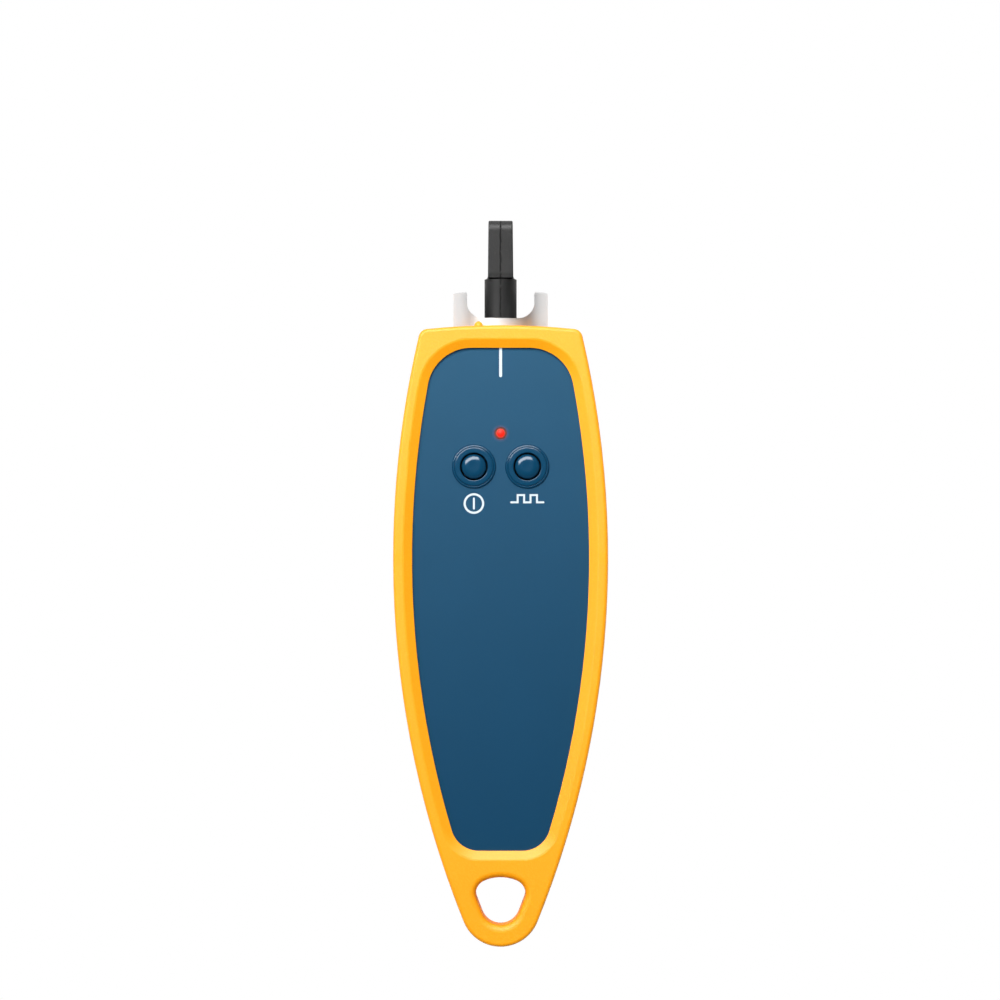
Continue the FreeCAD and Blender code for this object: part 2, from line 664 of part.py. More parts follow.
def doorOutline(sketch, grown, lift=None):
    # rounded battery door outline, made larger by grown
    half = doorHalfWidth + grown
    top = -size.doorStart + grown
    foot = -doorEnd - grown
    upper = size.doorTopRound + grown
    lower = size.doorEndRound + grown
    path(sketch, [(-half + upper, top), (half - upper, top, upper, 1), (half, top - upper),
                  (half, foot + lower, lower, 1), (half - lower, foot), (-half + lower, foot, lower, 1),
                  (-half, foot + lower), (-half, top - upper, upper, 1)])
    if lift is not None:
        sketch.Placement = FreeCAD.Placement(Vector(0, 0, lift.value), FreeCAD.Rotation())
        sketch.setExpression("Placement.Base.z", lift.text)
    return sketch


def makeDoor():
    # flat plate, two hooks at the upper edge, a sunk screw hole and finger ribs
    outline = doorOutline(newSketch("doorPlateOutline"), dim(0), shellRear)
    plate = extrude("doorPlate", outline, Vector(0, 0, 1), size.doorThickness)
    parts = [plate]
    for side in (-1, 1):
        middle = side * size.hookX
        half = size.hookWidth / 2
        back = hookFront - size.hookRoot
        parts.append(box("hookRoot", middle - half, middle + half, back, hookFront, doorInner - 0.5, hookTop))
        parts.append(box("hookArm", middle - half, middle + half, back, -size.doorStart + size.hookReach,
                         doorInner + size.hookRise, hookTop))
    tools = screwRoom("door", 0, -doorScrewY)
    for step in range(GRIPS):
        y = -doorScrewY + size.gripRise + step * size.gripPitch
        tools.append(box("gripGroove", -size.gripHalf, size.gripHalf, y, y + size.gripWidth, 0,
                         shellRear + size.gripDepth))
    finish("battery_door", cut("doorCut", fuse("doorSolid", *parts), *tools))


# ---------------------------------------------------------------- fasteners

def screw(name, x, y, length):
    # slotted pan-head screw, head down in its seat at the rear face
    head = shellRear + size.headSunk
    top = rod(name + "Head", size.screwHeadRadius, size.screwHeadHeight, x, y, head)
    shank = rod(name + "Shank", size.screwRadius, length, x, y, head + size.screwHeadHeight)
    slot = box(name + "Slot", x - size.screwHeadRadius, x + size.screwHeadRadius, y - size.slotWidth / 2,
               y + size.slotWidth / 2, head, head + size.screwHeadHeight / 2)
    return cut(name + "Cut", fuse(name + "Solid", top, shank), slot)


def makeScrews():
    screws = [screw(f"shellScrew{index}", x, y, size.shellScrewLength) for index, (x, y) in enumerate(BOSSES)]
    group = doc.addObject("Part::Compound", "shellScrews")
    group.Links = screws
    finish("shell_screws", group)
    finish("door_screw", screw("doorScrew", dim(0), -doorScrewY, size.doorScrewLength))


# ---------------------------------------------------------------- fibre port

floorTop = shellTop + size.guardFloor
portStart = shellTop - size.portFlange
stubEnd = portStart - size.stubLength
sleeveTop = size.portNeckReach - size.portLip
sleeveFoot = sleeveTop - size.sleeveLength
sleeveOuter = size.ferruleRadius + size.sleeveWall
laserFront = stubEnd + size.laserNoseLength


def makePort():
    # aluminium guard: turned cup with a hollow flanged tail, notched front and back
    innerR = size.guardRadius - size.guardWall
    tailEnd = shellTop - wall - fit - size.flangeThickness - 0.05
    flangeTop = tailEnd + size.flangeThickness
    guard = turned("noseGuard", [
        (size.portThreadRadius + fit, shellTop), (size.portThreadRadius + fit, floorTop), (innerR, floorTop),
        (innerR, size.guardReach), (size.guardRadius, size.guardReach), (size.guardRadius, shellTop),
        (size.tailRadius, shellTop), (size.tailRadius, flangeTop), (size.flangeRadius, flangeTop),
        (size.flangeRadius, tailEnd), (size.tailBore, tailEnd), (size.tailBore, shellTop)])
    half = size.notchWidth / 2
    foot = size.guardReach - size.notchDepth
    bend = size.notchRound
    above = size.guardReach + 1
    notch = path(newSketch("notchOutline", "XY", guard), [
        (-half, above), (half, above), (half, foot + bend, bend, 1), (half - bend, foot),
        (-half + bend, foot, bend, 1), (-half, foot + bend)])
    feature(guard, "Pocket", "guardNotch", notch, Midplane=True, Length=size.guardRadius * 2 + 4)

    def mouthRim(point):
        return (abs(point.y - size.guardReach.value) < 0.01
                and abs(math.hypot(point.x, point.z) - size.guardRadius.value) < 0.01)

    dress(guard, "Fillet", "guardMouth", lambda edge: near(edge, mouthRim), Radius=size.guardMouth)
    finish("nose_guard", guard, size.portHeight)

    body = turned("ferrulePort", [
        (size.lightHole, sleeveFoot), (sleeveOuter + fit, sleeveFoot), (sleeveOuter + fit, sleeveTop),
        (size.ferruleRadius + size.mouthLead, sleeveTop),
        (size.ferruleRadius + size.mouthLead + size.portLip, size.portNeckReach),
        (size.portNeckRadius - size.neckEdge, size.portNeckReach),
        (size.portNeckRadius, size.portNeckReach - size.neckEdge), (size.portNeckRadius, size.capStart - 0.2),
        (size.portThreadRadius, size.capStart - 0.2), (size.portThreadRadius, shellTop),
        (size.tailBore - fit, shellTop), (size.tailBore - fit, portStart), (size.stubRadius, portStart),
        (size.stubRadius, stubEnd), (size.laserNoseRadius + fit, stubEnd),
        (size.laserNoseRadius + fit, laserFront + 0.2), (size.lightHole, laserFront + 0.2)])
    finish("ferrule_port", body, size.portHeight)

    nut = newBody("portNut")
    sketch = newSketch("nutOutline", "XZ", nut)
    apex = size.nutFlats / math.sqrt(3)
    middle = apex / 2
    flat = size.nutFlats / 2
    path(sketch, [(apex, 0), (middle, -flat), (-middle, -flat), (-apex, 0), (-middle, flat), (middle, flat)])
    ring(sketch, 0, 0, size.portThreadRadius + fit)
    feature(nut, "Pad", "nutPad", sketch, Reversed=True, Length=size.nutThickness)
    nut.Label = "port_nut"
    place(nut, 0, shift + floorTop, size.portHeight)
    FINISHED["port_nut"] = nut

    sleeve = newBody("ferruleSleeve")
    sketch = newSketch("sleeveSection", "XZ", sleeve)
    ring(sketch, 0, 0, sleeveOuter)
    ring(sketch, 0, 0, size.ferruleRadius)
    feature(sleeve, "Pad", "sleevePad", sketch, Reversed=True, Length=size.sleeveLength - 0.1)
    slit = newSketch("slitSection", "XZ", sleeve)
    width = size.sleeveSlit / 2
    path(slit, [(-width, 0), (width, 0), (width, sleeveOuter + 1), (-width, sleeveOuter + 1)])
    feature(sleeve, "Pocket", "sleeveSlitCut", slit, Length=size.sleeveLength)
    sleeve.Label = "ferrule_sleeve"
    place(sleeve, 0, shift + sleeveFoot + 0.05, size.portHeight)
    FINISHED["ferrule_sleeve"] = sleeve

    tail = stubEnd - size.laserLength
    step = size.laserStep
    grooveTop = stubEnd - size.laserGrooveStart
    grooveFoot = grooveTop - size.laserGrooveLength
    laser = turned("laserModule", [
        (0, laserFront), (size.laserNoseRadius - step, laserFront), (size.laserNoseRadius, laserFront - step),
        (size.laserNoseRadius, stubEnd - fit), (size.laserRadius - step, stubEnd - fit),
        (size.laserRadius, stubEnd - fit - step), (size.laserRadius, grooveTop),
        (size.laserRadius - step, grooveTop - step), (size.laserRadius - step, grooveFoot + step),
        (size.laserRadius, grooveFoot), (size.laserRadius, tail + step), (size.laserRadius - step, tail),
        (size.laserPlugRadius, tail), (size.laserPlugRadius, tail - size.laserPlug),
        (0, tail - size.laserPlug)])
    finish("laser_module", laser, size.portHeight)


def makeCap():
    # rubber dust cap: sleeve over the port's neck and a pull ring seen edge on
    inner = size.portNeckRadius + fit
    roof = size.capShoulder - size.capRoof
    cap = turned("dustCap", [
        (0, roof), (inner, roof), (inner, size.capStart), (size.capRadius, size.capStart),
        (size.capRadius, size.capShoulder - size.capRound, size.capRound, 1),
        (size.capRadius - size.capRound, size.capShoulder), (0, size.capShoulder)])
    foot = size.capShoulder - size.tabRoot
    tab = path(newSketch("tabOutline", "XY", cap), [
        (-size.tabTip / 2, size.capReach), (size.tabTip / 2, size.capReach), (size.tabWidth / 2, foot),
        (-size.tabWidth / 2, foot)])
    feature(cap, "Pad", "pullTab", tab, Midplane=True, Length=size.tabDepth)
    half = size.tabDepth / 2 - size.tabBand
    low = foot + size.tabBand + half
    high = size.capReach - size.tabBand - half
    slot = path(newSketch("tabSlotOutline", "YZ", cap), [
        (low, half), (high, half, half, 1), (high, -half), (low, -half, half, 1)])
    feature(cap, "Pocket", "tabSlot", slot, Midplane=True, Length=size.tabWidth + 2)

    def tipCorner(edge):
        extent = edge.BoundBox
        return (extent.YMin > size.capReach.value - 0.01 and extent.XLength > 1
                and abs(abs(extent.ZMin) - size.tabDepth.value / 2) < 0.01)

    def outerEdge(point):
        share = (point.y - foot.value) / (size.capReach - foot).value
        side = (size.tabWidth.value + (size.tabTip - size.tabWidth).value * share) / 2
        return (abs(abs(point.x) - side) < 0.02 and point.y > size.capShoulder.value - 0.01
                and (abs(point.z) > half.value + 0.1 or point.y > (size.capReach - size.tabBand / 2).value))

    dress(cap, "Fillet", "tabCorners", tipCorner, Radius=size.tabCorner)
    dress(cap, "Fillet", "tabEdges", lambda edge: near(edge, outerEdge), Radius=size.tabEdge)
    finish("dust_cap", cap, size.portHeight)


# ---------------------------------------------------------------- keypad and electronics

def makeKeypad():
    flangeFoot = ceilingZ - size.restGap - size.buttonFlangeHeight
    crest = panelZ + size.buttonProud
    shoulder = crest - size.buttonDome
    flat = size.buttonRadius - size.buttonEdge
    domeRadius = (flat * flat + size.buttonDome * size.buttonDome) / (2 * size.buttonDome)
    switchTop = size.boardTop + size.switchHeight
    plungerFoot = switchTop - size.plungerDepth
    for side, name in ((-1, "power"), (1, "flash")):
        x = side * size.buttonX
        button = turned(name + "Button", [
            (0, flangeFoot), (size.buttonFlange, flangeFoot),
            (size.buttonFlange, flangeFoot + size.buttonFlangeHeight),
            (size.buttonRadius, flangeFoot + size.buttonFlangeHeight),
            (size.buttonRadius, shoulder - size.buttonEdge, size.buttonEdge, -1),
            (flat, shoulder, domeRadius, -1), (0, crest)], "XZ")
        finishAt(name + "_button", button, x, -size.buttonY)
        half = size.switchSize / 2
        case = box(name + "Case", x - half, x + half, -size.buttonY - half, -size.buttonY + half,
                   size.boardTop, switchTop)
        well = rod(name + "Well", size.plungerRadius + fit, FAR, x, -size.buttonY, plungerFoot
                   - size.buttonTravel - size.restGap)
        finish(name + "_switch", cut(name + "Switch", case, well))
        finish(name + "_plunger", rod(name + "Plunger", size.plungerRadius, flangeFoot - plungerFoot))
        plunger = FINISHED[name + "_plunger"]
        place(plunger, x, shift - size.buttonY, plungerFoot)

    top = lampTopZ + 0.2
    foot = top - size.lampBody
    lamp = turned("statusLamp", [
        (0, foot), (size.lampRim, foot), (size.lampRim, foot + size.lampRimHeight),
        (size.lampRadius, foot + size.lampRimHeight),
        (size.lampRadius, top - size.lampRadius, size.lampRadius, -1), (0, top)], "XZ")
    leads = newSketch("leadSection", "XY", lamp, boardUnder)
    for side in (-1, 1):
        ring(leads, side * size.lampLeadX, 0, size.lampLeadRadius)
    feature(lamp, "Pad", "lampLeads", leads, Length=foot - boardUnder + 0.2)
    finishAt("status_lamp", lamp, dim(0), -size.lampY)

    blocks = [box("boardSheet", -size.boardHalfWidth, size.boardHalfWidth, -size.boardEnd, -size.boardStart,
                  boardUnder, size.boardTop)]
    for x, y, long, wide, tall in CHIPS:
        blocks.append(box("chip", x - long / 2, x + long / 2, y - wide / 2, y + wide / 2, size.boardTop - 0.1,
                          size.boardTop + tall))
    leadsAt = [rod("leadHole", size.lampLeadRadius + 0.1, FAR, side * size.lampLeadX, -size.lampY,
                   boardUnder - 1) for side in (-1, 1)]
    finish("circuit_board", cut("boardCut", fuse("boardSolid", *blocks), *leadsAt))


CHIPS = ((0, -17, 5, 4, 1.2), (-8, -20, 2, 1.2, 0.8), (8, -20, 2, 1.2, 0.8), (0, -44, 6.4, 3.5, 2.4),
         (-8, -26, 2, 1.2, 0.8), (8, -26, 3.2, 1.6, 1.2))


def finishAt(node, item, x, y):
    item.Label = node
    place(item, x, shift + y, dim(0))
    FINISHED[node] = item


# ---------------------------------------------------------------- cells and contacts

def makeCells():
    top = -size.bayStart - size.plateThickness
    foot = bayFoot + size.plateThickness
    centre = size.cellRadius + size.cellGap / 2
    shoulder = size.cellLength - size.nubHeight
    flat = size.cellRadius - size.cellEdge
    section = [(0, 0), (flat, 0), (size.cellRadius, size.cellEdge),
               (size.cellRadius, shoulder - size.cellEdge), (flat, shoulder), (size.nubRadius, shoulder),
               (size.nubRadius, size.cellLength - size.nubEdge),
               (size.nubRadius - size.nubEdge, size.cellLength), (0, size.cellLength)]
    left = turned("leftCell", section)
    left.Label = "cell_left"
    place(left, -centre, shift + top - size.cellLength, cellZ)
    FINISHED["cell_left"] = left
    right = turned("rightCell", [(x, size.cellLength - y) for x, y in section][::-1])
    right.Label = "cell_right"
    place(right, centre, shift + foot, cellZ)
    FINISHED["cell_right"] = right

    plate = size.plateHalf
    finish("positive_contact", box("positivePlate", -centre - plate, -centre + plate, top, -size.bayStart,
                                   cellZ - plate, cellZ + plate))
    place(FINISHED["positive_contact"], -centre - plate, shift + top, cellZ - plate)
    finish("negative_contact", box("negativePlate", centre - plate, centre + plate, top, -size.bayStart,
                                   cellZ - plate, cellZ + plate))
    place(FINISHED["negative_contact"], centre - plate, shift + top, cellZ - plate)
    finish("bridge_contact", box("bridgePlate", -centre - plate, centre + plate, bayFoot, foot,
                                 cellZ - plate, cellZ + plate))
    place(FINISHED["bridge_contact"], -centre - plate, shift + bayFoot, cellZ - plate)
    leafSpring("upper_spring", centre, top, -1)
    leafSpring("lower_spring", -centre, foot, 1)


def leafSpring(node, x, seat, way):
    # bowed strip from its plate to the flat end of a cell
    half = size.leafSpan / 2
    rise = size.springLength - size.leafSlack
    thin = size.leafThickness
    outer = (half * half + rise * rise) / (rise * 2)
    inner = ((half - thin) * (half - thin) + (rise - thin) * (rise - thin)) / ((rise - thin) * 2)
    profile = path(newSketch(node + "Profile", "YZ"), [
        (0, -half, outer, -way), (0, half), (0, half - thin, inner, way), (0, thin - half)])
    bow = extrude(node + "Bow", profile, Vector(1, 0, 0), size.leafWidth)
    bow.Label = node
    place(bow, x - size.leafWidth / 2, shift + seat, cellZ)
    FINISHED[node] = bow


makeBumper()
shells()
makeDoor()
makeScrews()
makePort()
makeCap()
makeKeypad()
makeCells()
doc.recompute()

# ---------------------------------------------------------------- check and write

for item in doc.Objects:
    if "Invalid" in item.State or "Error" in item.State:
        raise RuntimeError(f"{item.Name} did not build: {item.State}")
for node, item in FINISHED.items():
    shape = item.Shape
    if shape.isNull() or not shape.isValid() or not shape.Solids:
        raise RuntimeError(f"{node} has no valid solid")
    shape.exportStep(f"parts/{node}.step")
    print(node, len(shape.Solids), round(shape.Volume, 2))
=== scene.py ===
import json
import math

import bmesh
import bpy
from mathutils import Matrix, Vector
from mathutils.bvhtree import BVHTree


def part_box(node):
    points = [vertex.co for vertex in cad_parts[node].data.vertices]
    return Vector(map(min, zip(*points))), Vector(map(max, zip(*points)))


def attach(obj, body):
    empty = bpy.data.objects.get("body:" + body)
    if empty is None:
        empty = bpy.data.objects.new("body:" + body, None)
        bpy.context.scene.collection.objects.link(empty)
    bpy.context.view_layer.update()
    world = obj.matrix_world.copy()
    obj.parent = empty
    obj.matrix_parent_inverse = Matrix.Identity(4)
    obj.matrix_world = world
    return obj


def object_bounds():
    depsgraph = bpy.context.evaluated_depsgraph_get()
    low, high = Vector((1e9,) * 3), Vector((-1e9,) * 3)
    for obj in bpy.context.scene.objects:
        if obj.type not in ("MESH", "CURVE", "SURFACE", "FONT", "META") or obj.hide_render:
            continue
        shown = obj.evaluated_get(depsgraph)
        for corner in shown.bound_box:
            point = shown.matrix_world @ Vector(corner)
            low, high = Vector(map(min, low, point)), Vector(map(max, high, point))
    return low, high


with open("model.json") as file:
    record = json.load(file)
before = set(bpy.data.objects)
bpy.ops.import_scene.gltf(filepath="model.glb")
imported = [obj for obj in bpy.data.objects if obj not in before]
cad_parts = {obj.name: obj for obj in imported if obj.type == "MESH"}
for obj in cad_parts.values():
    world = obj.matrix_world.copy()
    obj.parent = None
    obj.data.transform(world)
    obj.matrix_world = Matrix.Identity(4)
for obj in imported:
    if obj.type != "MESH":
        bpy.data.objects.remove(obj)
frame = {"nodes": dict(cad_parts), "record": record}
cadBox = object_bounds()
nodes = frame["nodes"]
mm = 0.001
print("frame loaded with", len(nodes), "nodes")


# shader graphs

class Wire:
    # an output socket that takes part in plain arithmetic
    def __init__(self, graph, socket):
        self.graph = graph
        self.socket = socket

    def maths(self, operation, first, second):
        return self.graph.node("ShaderNodeMath", {"operation": operation}, {0: first, 1: second})

    def __add__(self, other):
        return self.maths("ADD", self, other)

    def __sub__(self, other):
        return self.maths("SUBTRACT", self, other)

    def __mul__(self, other):
        return self.maths("MULTIPLY", self, other)

    def __pow__(self, other):
        return self.maths("POWER", self, other)

    def __rsub__(self, other):
        return self.maths("SUBTRACT", other, self)

    __radd__ = __add__


class Graph:
    # one node tree: a material's or the world's
    def __init__(self, owner):
        owner.use_nodes = True
        self.tree = owner.node_tree

    def join(self, socket, value):
        if isinstance(value, Wire):
            self.tree.links.new(value.socket, socket)
        else:
            socket.default_value = value

    def node(self, kind, settings=None, values=None, output=0):
        made = self.tree.nodes.new(kind)
        for name, setting in (settings or {}).items():
            setattr(made, name, setting)
        for name, value in (values or {}).items():
            self.join(made.inputs[name], value)
        return Wire(self, made.outputs[output])

    def smaller(self, first, second):
        return self.node("ShaderNodeMath", {"operation": "MINIMUM"}, {0: first, 1: second})


edgeTurn = (0.02, 0.25)                   # how far the normal leans where wear begins, and where it is full


class Finish(Graph):
    # a material on the Principled shader, with its texture space in metres
    def __init__(self, name, look):
        self.material = bpy.data.materials.new(name)
        super().__init__(self.material)
        self.shader = self.tree.nodes["Principled BSDF"]
        self.feed(look)
        self.spot = self.node("ShaderNodeTexCoord", output="Object")

    def feed(self, look):
        for name, value in look.items():
            self.join(self.shader.inputs[name], value)

    def axes(self):
        return [self.node("ShaderNodeSeparateXYZ", values={0: self.spot}, output=index) for index in range(3)]

    def noise(self, grain, detail=2.0, stretch=(1, 1, 1)):
        spot = self.node("ShaderNodeVectorMath", {"operation": "MULTIPLY"}, {0: self.spot, 1: stretch})
        return self.node("ShaderNodeTexNoise", values={"Vector": spot, "Scale": 1 / grain, "Detail": detail})

    def mask(self, value, low, high):
        # 0 below low and 1 above high, with a soft step between
        return self.node("ShaderNodeMapRange", {"interpolation_type": "SMOOTHSTEP"},
                         {"Value": value, "From Min": low, "From Max": high})

    def within(self, value, reach, soft):
        # 1 up to reach, falling to 0 over the soft distance beyond
        return 1 - self.mask(value, reach, reach + soft)

    def blend(self, factor, first, second):
        return self.node("ShaderNodeMix", {"data_type": "RGBA"}, {0: factor, 6: first, 7: second}, output=2)

    def mottled(self, factor, look):
        # the look's colour, between its darker and its paler shade
        dark, pale = look["mottle"]
        return self.blend(factor, tint(look["colour"], dark), tint(look["colour"], pale))

    def measure(self, operation, first, second):
        # a vector operation whose result is a number
        values = {0: first, 1: second}
        return self.node("ShaderNodeVectorMath", {"operation": operation}, values, output="Value")

    def edges(self, radius):
        # 0 on flat faces, rising towards 1 on sharp outer and inner edges
        rounded = self.node("ShaderNodeBevel", {"samples": 4}, {"Radius": radius})
        true = self.node("ShaderNodeNewGeometry", output="True Normal")
        return self.mask(1 - self.measure("DOT_PRODUCT", rounded, true), *edgeTurn)

    def worn(self, wear, body, look):
        # body with the look's edge shade where wear shows
        return self.blend(wear * look["edgeShare"], body, tint(look["colour"], look["edgeShade"]))

    def relief(self, height, distance):
        self.feed({"Normal": self.node("ShaderNodeBump", values={"Height": height, "Distance": distance})})


def tint(colour, factor):
    return tuple(min(channel * factor, 1.0) for channel in colour[:3]) + (1.0,)


def sway(noise, reach):
    # noise about its middle, half of reach either way
    return (noise - 0.5) * reach


def radial(across, along):
    return (across ** 2 + along ** 2) ** 0.5


# finishes

bumperLook = {"colour": (1.0, 0.365, 0.001, 1), "mottle": (0.96, 1.04), "cloud": 14 * mm,
              "speckle": (1.0, 0.44, 0.02, 1), "speckleFrom": 0.45, "speckleTo": 0.72, "speckleShare": 0.3,
              "roughness": 0.52, "roughnessSway": 0.16, "grain": 0.5 * mm, "relief": 0.05 * mm,
              "edge": 0.55 * mm, "edgeShade": 1.05, "edgeShare": 0.5, "edgeMatte": 0.06}


def bumperElastomer():
    look = bumperLook
    made = Finish("bumperElastomer", {"IOR": 1.43})
    cloud = made.noise(look["cloud"], 3.0)
    grain = made.noise(look["grain"], 4.0)
    wear = made.edges(look["edge"])
    speckles = made.mask(grain, look["speckleFrom"], look["speckleTo"])
    speckled = made.blend(speckles * look["speckleShare"], made.mottled(cloud, look), look["speckle"])
    rough = look["roughness"] + sway(grain, look["roughnessSway"]) + wear * look["edgeMatte"]
    made.feed({"Base Color": made.worn(wear, speckled, look), "Roughness": rough})
    made.relief(grain, look["relief"])
    return made.material


shellLook = {"colour": (0.0003, 0.034, 0.087, 1), "mottle": (0.94, 1.06), "cloud": 18 * mm,
             "roughness": 0.42, "roughnessSway": 0.12, "grain": 0.28 * mm, "relief": 0.012 * mm,
             "edge": 0.3 * mm, "edgeShade": 1.7, "edgeShare": 0.25,
             "frontFrom": 3 * mm, "frontTo": 2.5 * mm, "polished": 0.13, "dim": 0.9,
             "gloss": (0.5, 0.86, 0.94, 1), "holeShadeColour": (0.001, 0.002, 0.004, 1),
             "paintedLightColour": (0.20, 0.02, 0.01, 1), "paintedLightReach": 0.8 * mm, "paintedLightShare": 0.4}
keyPlan = {"bezelReach": 5.45 * mm, "bezelSoft": 0.1 * mm, "holeRadius": 3.5 * mm, "holeSoft": 0.05 * mm,
           "holeShade": 0.35 * mm, "shade": 0.1 * mm, "lit": 0.4 * mm}


def shellPlastic(lampAt, lampRadius, keys, faceZ):
    # textured face, polished round the keys, painted shade inside their holes, with painted red light round
    # the lamp
    look = shellLook
    made = Finish("shellPlastic", {"IOR": 1.56, "Specular Tint": look["gloss"], "Emission Strength": 1.0})
    x, y, z = made.axes()
    cloud = made.noise(look["cloud"], 2.0)
    grain = made.noise(look["grain"], 4.0)
    wear = made.edges(look["edge"])
    front = made.mask(z, faceZ - look["frontFrom"], faceZ - look["frontTo"])
    polish = holeShade = 0
    for key in keys:
        out = radial(x - key.x, y - key.y)
        polish = front * made.within(out, keyPlan["bezelReach"], keyPlan["bezelSoft"]) + polish
        holeShade = front * made.within(out, keyPlan["holeRadius"], keyPlan["holeSoft"]) + holeShade
    # painted shade: the walls of the key holes below the face are coloured near black
    holeShade = holeShade * (1 - made.mask(z, faceZ - keyPlan["holeShade"], faceZ))
    worn = made.worn(wear * (1 - holeShade), made.mottled(cloud, look), look)
    rough = look["roughness"] + sway(grain, look["roughnessSway"])
    ringed = made.blend(polish, worn, tint(look["colour"], look["dim"]))
    made.feed({"Base Color": made.blend(holeShade, ringed, look["holeShadeColour"]),
               "Roughness": rough * (1 - polish) + polish * look["polished"]})
    made.relief(grain * (1 - polish), look["relief"])
    # painted light: red light from the lamp spilling onto the face, given as emission on the shell
    paintedLightMask = made.within(made.measure("DISTANCE", made.spot, lampAt), lampRadius, look["paintedLightReach"])
    made.feed({"Emission Color": made.blend(paintedLightMask * look["paintedLightShare"], (0, 0, 0, 1), look["paintedLightColour"])})
    return made.material


keyLook = {"colour": (0.003, 0.048, 0.106, 1), "mottle": (0.92, 1.08), "smear": 1.6 * mm,
           "roughness": 0.15, "roughnessSway": 0.08, "grain": 0.5 * mm, "relief": 0.003 * mm,
           "edge": 0.25 * mm, "edgeShade": 1.6, "edgeShare": 0.3,
           "gapShadeColour": (0.001, 0.002, 0.003, 1), "gapShadeMatte": 0.4}


def keyGloss(faceZ):
    # glossy keys, domes and collars, painted shade near the face, where they show only in a gap
    look = keyLook
    made = Finish("keyGloss", {"IOR": 1.5})
    smear = made.noise(look["smear"], 3.0)
    worn = made.worn(made.edges(look["edge"]), made.mottled(smear, look), look)
    # painted shade: below the face the keys are coloured near black
    proud = made.mask(made.axes()[2], faceZ + keyPlan["shade"], faceZ + keyPlan["lit"])
    made.feed({"Base Color": made.blend(proud, look["gapShadeColour"], worn),
               "Roughness": look["roughness"] + sway(smear, look["roughnessSway"])
               + (1 - proud) * look["gapShadeMatte"]})
    made.relief(made.noise(look["grain"]), look["relief"])
    return made.material


lampLook = {"radius": 1.5 * mm, "colour": (0.30, 0.012, 0.006, 1), "rimColour": (0.13, 0.07, 0.055, 1),
            "light": (1.0, 0.012, 0.003, 1), "rimLight": (0.16, 0.045, 0.03, 1),
            "core": 0.75 * mm, "rim": 1.3 * mm, "grain": 0.5 * mm, "waver": 0.2 * mm}


def lampResin(centre):
    # bright core under a hazy dome, duller towards the rim
    look = lampLook
    made = Finish("lampResin", {"Roughness": 0.5, "Specular IOR Level": 0.2, "Emission Strength": 0.9})
    x, y = made.axes()[:2]
    out = radial(x - centre.x, y - centre.y)
    rim = made.mask(out + sway(made.noise(look["grain"]), look["waver"]), look["core"], look["rim"])
    made.feed({"Base Color": made.blend(rim, look["colour"], look["rimColour"]),
               "Emission Color": made.blend(rim, look["light"], look["rimLight"])})
    return made.material


metalLook = {"mottle": (0.93, 1.04), "stain": 4 * mm, "stainSway": 0.1, "marksSway": 0.18,
             "edge": 0.25 * mm, "edgeShade": 1.2, "edgeShare": 0.6, "edgePolish": 0.08, "relief": 0.004 * mm}
metals = {
    # colour, roughness and the pitch of the tool marks
    "turnedAluminium": ((0.74, 0.74, 0.74, 1), 0.45, 0.12 * mm),
    "turnedSteel": ((0.60, 0.60, 0.59, 1), 0.26, 0.12 * mm),
    "turnedBrass": ((0.74, 0.54, 0.24, 1), 0.3, 0.12 * mm),
    "platedSteel": ((0.56, 0.56, 0.55, 1), 0.32, 0.3 * mm),
}


def turnedMetal(name, centre):
    # fine tool marks round the port's axis, with faint stains and bright edges
    colour, roughness, pitch = metals[name]
    look = {**metalLook, "colour": colour}
    made = Finish(name, {"Metallic": 1.0})
    x, y, z = made.axes()
    out = radial(x - centre.x, z - centre.z)
    ringSpot = made.node("ShaderNodeCombineXYZ", values={"X": out, "Y": y, "Z": 0.0})
    marks = made.node("ShaderNodeTexNoise", values={"Vector": ringSpot, "Scale": 1 / pitch, "Detail": 3.0})
    stain = made.noise(look["stain"], 3.0)
    edge = made.edges(look["edge"])
    made.feed({"Base Color": made.worn(edge, made.mottled(stain, look), look),
               "Roughness": roughness + sway(marks, look["marksSway"]) + sway(stain, look["stainSway"])
               - edge * look["edgePolish"]})
    made.relief(marks, look["relief"])
    return made.material


capLook = {"colour": (0.0125, 0.0125, 0.0125, 1), "mottle": (0.88, 1.12), "cloud": 5 * mm,
           "roughness": 0.46, "roughnessSway": 0.16,
           "grain": 0.3 * mm, "grainShare": 0.4, "relief": 0.08 * mm,
           "edge": 0.35 * mm, "edgeShade": 0.45, "edgeShare": 0.35,
           "waver": 0.5 * mm, "waverGrain": 3.2 * mm,
           "seamHalf": 0.26 * mm, "seamCore": 0.35, "seamColour": (0.003, 0.003, 0.003, 1), "seamMatte": 0.5,
           "gapGrain": 0.9 * mm, "gapFrom": 0.25, "gapTo": 0.5,
           "dustGrain": 0.5 * mm, "dustFrom": 0.60, "dustTo": 0.80,
           "dustColour": (0.16, 0.155, 0.14, 1), "dustShare": 0.10, "dustMatte": 0.1,
           "shoulder": 12.8 * mm, "shoulderSoft": 0.5 * mm,
           "sleeveShadeColour": (0.001, 0.001, 0.001, 1), "sleeveShadeShare": 0.55, "sleeveMatte": 0.05}


